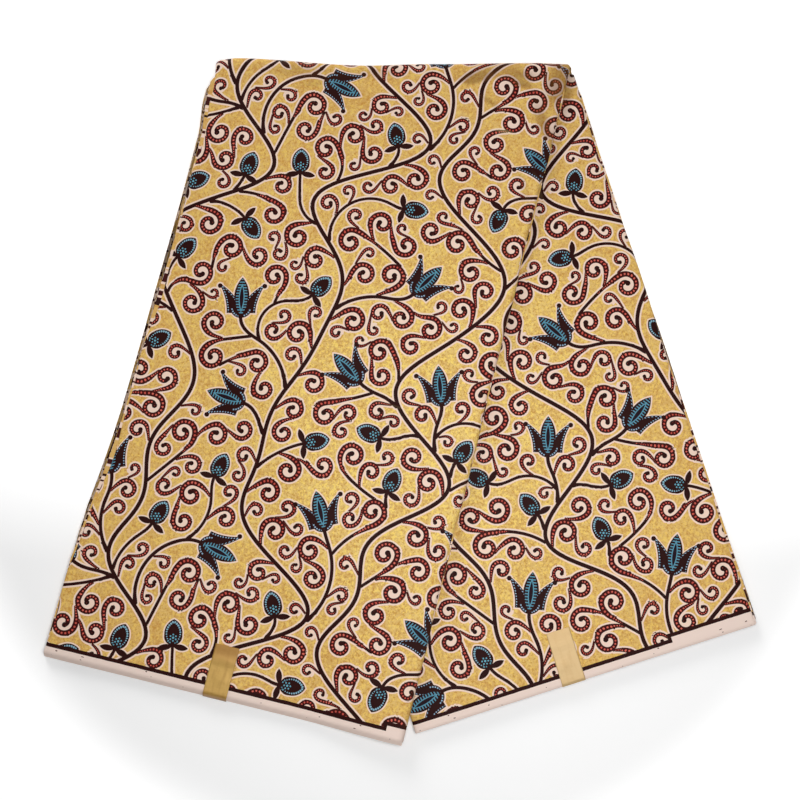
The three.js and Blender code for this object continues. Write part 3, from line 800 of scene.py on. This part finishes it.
def wax_print():
    p = Paint("printed_cotton", 0.55, specular=0.07)
    c1, s1, h1 = p.attribute("strand_1")
    c2, s2, h2 = p.attribute("strand_2")
    halo1, halo2, flags = p.attribute("facts")
    u, v, kind = p.attribute("flower")
    a, s, box = p.attribute("cloth")
    fold_side, rise, painted_light = p.attribute("fold")
    at = p.place(a, s)
    # Ground, with the fine mottling of wax and dye.
    p.start(GOLD)
    p.over(p.noise(at, 0.045, 3.0).ramp(0.35, 0.66) * 0.60, GOLD_PALE)
    p.over(p.noise(at, 0.24, 4.0, 0.65).ramp(0.46, 0.66) * 0.75, GOLD_PALE)
    p.over(p.noise(p.place(s, a), 0.20, 4.0, 0.65).ramp(0.50, 0.72) * 0.70, GOLD_DEEP)
    p.over(p.noise(p.place(s, a, 9.0), 0.46, 3.0, 0.75).ramp(0.50, 0.60) * 0.74, OCHRE)
    p.over(p.noise(p.place(s, a, 4.0), 0.40, 3.0, 0.75).ramp(0.50, 0.59) * 0.80, STRAW)
    # Painted shade: the gold darkens away from the lit middle, as the light falls off towards the
    # sides.
    p.over(painted_light.ramp(0.0, 1.0, 0.34, 0.0), GOLD_DEEP)
    # Vines: the nearer of the two strands.
    e1, e2 = abs(c1) - h1, abs(c2) - h2
    near = e1 < e2
    e, c = e1.least(e2), pick(near, c1, c2)
    phase, half = pick(near, s1, s2), pick(near, h1, h2)
    dots_2 = flags > 1.5
    dots_1 = (flags - dots_2 * 2.0) > 0.5
    dots = pick(near, dots_1, dots_2)
    rim_1 = e1 < (halo1 * (c1 > 0.0) + HALO)
    rim_2 = e2 < (halo2 * (c2 > 0.0) + HALO)
    p.over(rim_1.most(rim_2), CREAM)
    body = e < 0.0
    p.over(body, DARK)
    p.over(body * dots, MAROON)
    off = (phase.frac() - 0.5) * half * SPACING
    dot = (long_side(off, c) / half) < 0.35
    dot = dot * dots * body * (half > 0.85)
    patch = p.noise(p.place(a, s, 3.0), 0.03, 1.0).ramp(0.42, 0.58)
    p.over(dot * half.ramp(0.9, 1.5), ROSE)
    p.over(dot * half.ramp(0.9, 1.5) * patch * 0.6, RUST)
    bud_here = (kind > 0.5) * (kind < 1.5)
    bare = 1.0 - body
    paint_bud(p, u, v, bud_here, bare)
    paint_tulip(p, u, v, kind > 1.5, bare)
    # Selvedge: the dark line, and the bare band below it.
    band = s + p.noise(at, 0.12, 1.0) * 0.5 - 0.25
    band = band - BOX_STEP * (box > 0.0)
    side = (box > -STRIPE) * (box < 0.0)
    p.over(band < SELVEDGE, WHITE)
    p.over((p.noise(p.place(a * 0.5, s, 5.0), 0.45, 1.0) > 0.75) * (band < SELVEDGE), STRAY)
    p.over((band > SELVEDGE) * (band < SELVEDGE + STRIPE), DARK)
    p.over(side * (band > SELVEDGE) * (band < SELVEDGE + BOX_STEP + STRIPE), DARK)
    # Painted shade: browner, unevenly, along the rounded fold edge of the front half.
    uneven = p.noise(p.place(a, s * 0.4, 2.0), 0.08, 2.0).ramp(0.2, 0.7, 0.35, 1.0)
    painted_fold_shade = fold_side.ramp(0.0, FOLD_SHADE_WIDTH, 1.0, 0.0) * uneven
    p.over(painted_fold_shade * 0.34, FOLD_SHADE)
    # Painted shade in the creases' hollows and a painted highlight on their ridges, by crease rise.
    p.over((rise * -1.0).ramp(0.15, 1.5, 0.0, 0.55), HOLLOW_SHADE)
    p.over(rise.ramp(0.3, 1.3, 0.0, 0.22), RIDGE_HIGHLIGHT)
    p.bump(p.noise(at, 1.6, 2.0), 0.10, 0.0004)
    return p.done()


def lerp_columns(low, high, count):
    t = np.linspace(0, 1, count + 2)[1:-1]
    return low[:, None] + (high - low)[:, None] * t


# Inset of the hidden panels' outer edges, top to bottom, as a share of the top sheet's.
BAND_DEPTHS = (0.72, 0.44, 0.12)


def pleated_layers(name):
    """The hidden panels of a half as one ribbon, folded to and fro under its top sheet."""
    half = HALVES[name]
    lean = half["lean"]
    front = name == "front"
    columns = 26 if front else 10
    reach = half["edge"] * math.cos(lean)
    wide = FOLD_WIDTH * math.cos(lean)
    pitch = STACK / PLEATS
    ends = np.linspace(3.6, 0.0, PLEATS) if front else np.linspace(0.8, 8.0, PLEATS)
    ends = np.maximum(0, ends + 0.35 * np.sin(2.3 * np.arange(PLEATS)))
    rng = np.random.default_rng(5 if front else 6)
    rows = 110
    t = np.linspace(0, 1, rows)
    t = np.concatenate([[0.0, 0.0008], t[1:]])
    rings, cloth_a = [], []
    run = 0.0
    BOW = np.radians([60, 20, -20, -60])
    sides, bands = {}, {}
    for k in range(PLEATS + 1):
        group = k * len(BAND_DEPTHS) // (PLEATS + 1)
        for side in ("outer", "inner"):
            depth = EDGES[name][side][0]
            if side == "outer":
                depth *= BAND_DEPTHS[group]
            if (group, side) not in bands:
                sway, turns, phase = rng.uniform(0.25, 0.6), rng.uniform(1.2, 3.0), rng.uniform(0, 6.28)
                bands[group, side] = (sway, turns, phase)
            shallow = max(0.5, depth + rng.uniform(-0.15, 0.15))
            sides[k, side] = (shallow,) + bands[group, side]
    least = {"outer": 0.0, "inner": 0.0}
    for side in least:
        other = "inner" if side == "outer" else "outer"
        at = np.array(ROUND / reach)
        mine = inset(EDGES[name][side], at)
        around = inset(EDGES["front"][other], at)
        if side == "outer":
            mine = mine - stands_out(BOWS[name], at)
        else:
            around = around - stands_out(BOWS["front"], at)
        around = mine if front else around
        least[side] = max(float(mine), float(around)) + WALL + 3 * GAP
    for k in range(PLEATS):
        z = STACK - pitch * (k + 0.5)
        turn_side = "inner" if k % 2 == 0 else "outer"

        def row_points(perp, height, s_start):
            across = perp / math.cos(lean)
            hem = hem_at(half, across) - s_start
            nose = ROUND - NEST + 0.15
            back = hem * math.cos(lean) * (1 - t) + nose * t
            return across, back, height

        # From one side of the panel to the other, then round the hairpin to the next one.
        share = 1 - t
        low = (inset(sides[k, "outer"], share) - stands_out(BOWS[name], share)) * math.cos(lean)
        high = wide - inset(sides[k, "inner"], share) * math.cos(lean)
        tuck = smooth((t - 0.94) / 0.04)
        low = np.maximum(low, least["outer"] * math.cos(lean) * tuck)
        high = np.minimum(high, wide - least["inner"] * math.cos(lean) * tuck)
        inner_stop, outer_stop = high - pitch, low + pitch
        stops = np.concatenate([outer_stop[:, None], lerp_columns(outer_stop, inner_stop, columns),
                                inner_stop[:, None]], axis=1)
        if turn_side == "outer":
            stops = stops[:, ::-1]
        for i in range(stops.shape[1]):
            rings.append(row_points(stops[:, i], np.full(len(t), z), ends[k]))
            cloth_a.append(run + wide * i / (stops.shape[1] - 1))
        run += wide
        if k + 1 < PLEATS:
            tip = pitch * 0.9
            for b in BOW:
                h = z - pitch / 2 + pitch / 2 * math.sin(b)
                reach_out = tip * math.cos(b)
                perp = inner_stop + reach_out if turn_side == "inner" else outer_stop - reach_out
                rings.append(row_points(perp, np.full(len(t), h), (ends[k] + ends[k + 1]) / 2))
                cloth_a.append(run)
    across = np.array([r[0] for r in rings])
    back = np.array([r[1] for r in rings])
    height = np.array([r[2] for r in rings])
    # The very edge at the hem turns down a little, as a cut thickness.
    height[:, 0] -= 0.28
    nested_height = nested(front, back, height)
    points = placed(name, across, back, nested_height)
    n, m = across.shape
    index = np.arange(n * m).reshape(n, m)
    faces = np.stack([index[:-1, :-1], index[:-1, 1:], index[1:, 1:], index[1:, :-1]], axis=-1)
    faces = faces.reshape(-1, 4)
    obj = new_mesh("layers_" + name, points.reshape(-1, 3), faces.tolist())
    down = (hem_at(half, across) - back / math.cos(lean))
    ends_at = down - down[:, :1]
    cloth = np.stack([np.repeat(np.array(cloth_a)[:, None], m, axis=1), ends_at,
                      np.zeros_like(across)], axis=-1).reshape(-1, 3)
    store(obj.data, "cloth", "POINT", cloth)
    uv = obj.data.uv_layers.new(name="UVMap")
    spread = np.array([run + 2, 700.0])
    uv.data.foreach_set("uv", ((cloth[faces][..., :2] + 1) / spread).astype(np.float32).ravel())
    return obj, run


def nested(front, back, height):
    """Height of the hidden layers, which round off inside the top fold."""
    deep = np.maximum(0, ROUND - back)
    bulge = np.sqrt(np.maximum(0.01, NEST * NEST - deep * deep))
    if front:
        crown = np.maximum(0.1, bulge - (HALF + GAP - ROUND))
        held = height * np.minimum(1, crown / STACK)
    else:
        sole = np.minimum(STACK - 0.1, ROUND - bulge)
        held = sole + height * (STACK - sole) / STACK
    return np.where(back > ROUND + GAP, height, held)


def edge_print():
    """The same cloth where only narrow bands of it show, at the sides of the pile."""
    p = Paint("printed_cotton_edges", 0.6, specular=0.12)
    a, s, _ = p.attribute("cloth")
    at = p.place(a, s)
    p.start(GOLD)
    p.over(p.noise(at, 0.3, 2.0).ramp(0.45, 0.7) * 0.7, GOLD_DEEP)
    bits = p.noise(p.place(a * 0.02, s), 0.062, 1.0, 0.4)
    p.over(bits > 0.50, CREAM)
    p.over(bits > 0.55, MAROON)
    p.over(bits > 0.61, CREAM)
    more = p.noise(p.place(s, a * 0.02), 0.07, 1.0, 0.4)
    p.over(more > 0.64, DARK)
    p.over((s > SELVEDGE) * (s < SELVEDGE + STRIPE), DARK)
    p.over(s < SELVEDGE, WHITE)
    return p.done()


def foil(name, rgb, deep, roughness, metallic, painted_shade):
    p = Paint(name, roughness, metallic=metallic, specular=0.5)
    a, s, _ = p.attribute("cloth")
    p.start(rgb)
    p.over(p.noise(p.place(a, s * 0.2), 0.25, 2.0).ramp(0.45, 0.75) * 0.40, deep)
    # Painted shade: darker towards the label's top end and where it bends down over the hem.
    p.over(s.ramp(4.0, 20.0, 0.85, 0.0).most(s.ramp(38.0, 50.0)) * painted_shade, deep)
    p.bump(p.noise(p.place(a * 0.4, s), 0.35, 2.0), 0.25, 0.0006)
    return p.done()


LABEL_WIDTH = 21.0
FOIL = 0.2           # its thickness
# Middle of each label across its half, lift of its crease, and its way over the hem as
# (back from the hem, height). The left one follows the front sheet, which ends nearer the hem than
# its solid does.
LABELS = {
    "left": dict(half="front", across=158.0, crease=0.45, path=(
        (47, 8.3), (34, 8.3), (21, 8.3), (3.7, 8.3), (1.9, 5.9), (-0.3, 2.1), (-0.5, 0.3))),
    "right": dict(half="back", across=178.0, crease=0.1, path=(
        (47, 8.3), (34, 8.3), (21, 8.3), (8, 8.3), (0.4, 8.3), (-0.6, 7.0), (-0.5, 2.5))),
}


def label(name, material):
    """A foil band over the hem, rounded at its bend and a little uneven."""
    spec = LABELS[name]
    half = HALVES[spec["half"]]
    lean = half["lean"]
    path = np.array(spec["path"], float)
    reach = np.concatenate([[0], np.cumsum(np.hypot(*np.diff(path, axis=0).T))])
    t = np.arange(0, reach[-1], 0.9)
    line = np.stack([np.interp(t, reach, path[:, 0]), np.interp(t, reach, path[:, 1])], axis=1)
    for _ in range(3):
        line[1:-1] = (line[:-2] + 2 * line[1:-1] + line[2:]) / 4
    across = spec["across"] + (LABEL_WIDTH / math.cos(lean)) * (np.linspace(0, 1, 25) - 0.5)
    T, A = np.meshgrid(t, across, indexing="ij")
    back = (hem_at(half, A) - line[:, 0][:, None]) * math.cos(lean)
    lift = 0.42 + spec["crease"] * np.exp(-((T - 13) / 4.0) ** 2)
    lift = lift + 0.25 * np.exp(-((T - 30) / 5.0) ** 2 - ((A - spec["across"] - 4) / 6) ** 2)
    height = line[:, 1][:, None] + lift * smooth((line[:, 1][:, None] - 2) / 4)
    points = placed(spec["half"], A, back, height)
    n, m = T.shape
    index = np.arange(n * m).reshape(n, m)
    faces = np.stack([index[:-1, :-1], index[1:, :-1], index[1:, 1:], index[:-1, 1:]], axis=-1)
    faces = faces.reshape(-1, 4)
    if half["side"] < 0:
        faces = faces[:, ::-1]
    obj = new_mesh("foil_" + name, points.reshape(-1, 3), faces.tolist())
    cloth = np.stack([A, T, np.zeros_like(A)], axis=-1).reshape(-1, 3)
    store(obj.data, "cloth", "POINT", cloth)
    uv = obj.data.uv_layers.new(name="UVMap")
    flat = (cloth[faces][..., :2] - [across[0], 0]) / 60.0
    uv.data.foreach_set("uv", flat.astype(np.float32).ravel())
    thick = obj.modifiers.new("wall", "SOLIDIFY")
    thick.thickness = FOIL * MM
    thick.offset = 0.0
    finish_mesh(obj, material)
    return obj


# ---- pieces ----
cotton, edges_cotton = wax_print(), edge_print()
TUCK = 9.0   # how far under the front half the back one's fine cells still run


def everywhere(x, y):
    return np.ones_like(x, bool)


def past_front(x, y):
    """Where the back half shows, right of the front half's inner edge."""
    return x > FOLD_WIDTH / 2 + y * math.tan(HALVES["front"]["lean"]) - TUCK


cloth_front = printed_sheet("front", everywhere)
cloth_back = printed_sheet("back", past_front)
finish_mesh(cloth_front, cotton)
finish_mesh(cloth_back, cotton)
layers_front, ribbon_front = pleated_layers("front")
layers_back, ribbon_back = pleated_layers("back")
finish_mesh(layers_front, edges_cotton)
finish_mesh(layers_back, edges_cotton)
foil_left = label("left", foil("foil_deep", (204, 164, 88), (160, 114, 48), 0.42, 0.3, 1.0))
foil_right = label("right", foil("foil_pale", (212, 180, 128), (196, 156, 98), 0.5, 0.2, 0.25))

PIECES = [
    (cloth_front, "front_face", "printed_cotton"), (cloth_back, "back_face", "printed_cotton"),
    (layers_front, "front_layers", "printed_cotton"), (layers_back, "back_layers", "printed_cotton"),
    (foil_left, "label_left", "foil_deep"), (foil_right, "label_right", "foil_pale"),
]
for piece, node, slot in PIECES:
    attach(piece, "root")
    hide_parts(node)

ribbon_front * MM
ribbon_back * MM

# ---- floor, lights and camera ----
FLOOR, FLOOR_GAP = 6.0, 0.0004   # half its side, and how far it lies under the cloth, in metres
floor_mesh = bpy.data.meshes.new("floor")
floor_corners = [(-FLOOR, -FLOOR, 0), (FLOOR, -FLOOR, 0), (FLOOR, FLOOR, 0), (-FLOOR, FLOOR, 0)]
floor_mesh.from_pydata(floor_corners, [], [(0, 1, 2, 3)])
floor = bpy.data.objects.new("floor", floor_mesh)
floor.location.z = -FLOOR_GAP
bpy.context.scene.collection.objects.link(floor)
paper = Paint("paper", 0.9, specular=0.1)
paper.start((255, 255, 255))
paper.shader.inputs["Emission Color"].default_value = (1, 1, 1, 1)
where = paper.tree.nodes.new("ShaderNodeNewGeometry")
split = paper.tree.nodes.new("ShaderNodeSeparateXYZ")
paper.tree.links.new(where.outputs["Position"], split.inputs[0])
# Painted light: the floor glows, least near the cloth's hem and more towards the fold's side and far
# out, which paints a soft shadow round the hem.
away = long_side(Value(paper.tree, split.outputs[0]), Value(paper.tree, split.outputs[1]))
toward_fold = Value(paper.tree, split.outputs[1]).ramp(-0.20, -0.02, 0.0, 0.35)
painted_floor_light = away.ramp(0.37, 0.43, 0.06, 0.35).most(toward_fold) + away.ramp(0.45, 0.8, 0.0, 0.3)
feed(paper.tree, painted_floor_light, paper.shader.inputs["Emission Strength"])
floor_mesh.materials.append(paper.done())


def soft_light(name, place, aim, size, power):
    """A square lamp, unseen by the camera. Places and size in metres, power in watts."""
    data = bpy.data.lights.new(name, "AREA")
    data.shape = "SQUARE"
    data.size = size
    data.energy = power
    lamp = bpy.data.objects.new(name, data)
    bpy.context.scene.collection.objects.link(lamp)
    z = (np.array(place) - np.array(aim)).astype(float)
    z /= np.linalg.norm(z)
    x = np.cross((0, 1, 0), z)
    x /= np.linalg.norm(x)
    y = np.cross(z, x)
    turn = Matrix(np.column_stack([x, y, z]).tolist()).to_4x4()
    lamp.matrix_world = Matrix.Translation(place) @ turn
    lamp.visible_camera = False
    return lamp


soft_light("panel", (0.115, -0.14, 0.86), (0.095, -0.14, 0), 0.45, 5.2)
soft_light("key", (-0.70, 1.60, 0.80), (0, -0.1, 0), 0.7, 16.8)
soft_light("fill", (0.5, -1.6, 1.3), (0, 0, 0), 1.4, 0.6)
world = bpy.data.worlds.new("room")
world.use_nodes = True
backdrop = world.node_tree.nodes["Background"]
backdrop.inputs["Color"].default_value = (1, 1, 1, 1)
backdrop.inputs["Strength"].default_value = 0.15
bpy.context.scene.world = world
bpy.context.scene.view_settings.view_transform = "Standard"

camera_data = bpy.data.cameras.new("camera")
camera_data.lens = 50
camera_data.sensor_width = 36
camera = bpy.data.objects.new("camera", camera_data)
bpy.context.scene.collection.objects.link(camera)
# Tilt from straight down, turn about the vertical, roll; the point aimed at and the way to it.
TILT, YAW, ROLL = math.radians(6.022), math.radians(0.020), math.radians(0.523)
AIM, DISTANCE = np.array([10.31, -308.79, 0.0]), 992.6
c, s = math.cos(YAW), math.sin(YAW)
look = np.array([-s * math.sin(TILT), c * math.sin(TILT), -math.cos(TILT)])
side = np.array([c, s, 0.0])
up = np.cross(side, look)
right = math.cos(ROLL) * side + math.sin(ROLL) * up
above = -math.sin(ROLL) * side + math.cos(ROLL) * up
spot = (AIM + OFFSET - look * DISTANCE) * MM
camera.matrix_world = Matrix.Translation(spot.tolist()) @ Matrix(
    np.column_stack([right, above, -look]).tolist()).to_4x4()
bpy.context.scene.camera = camera
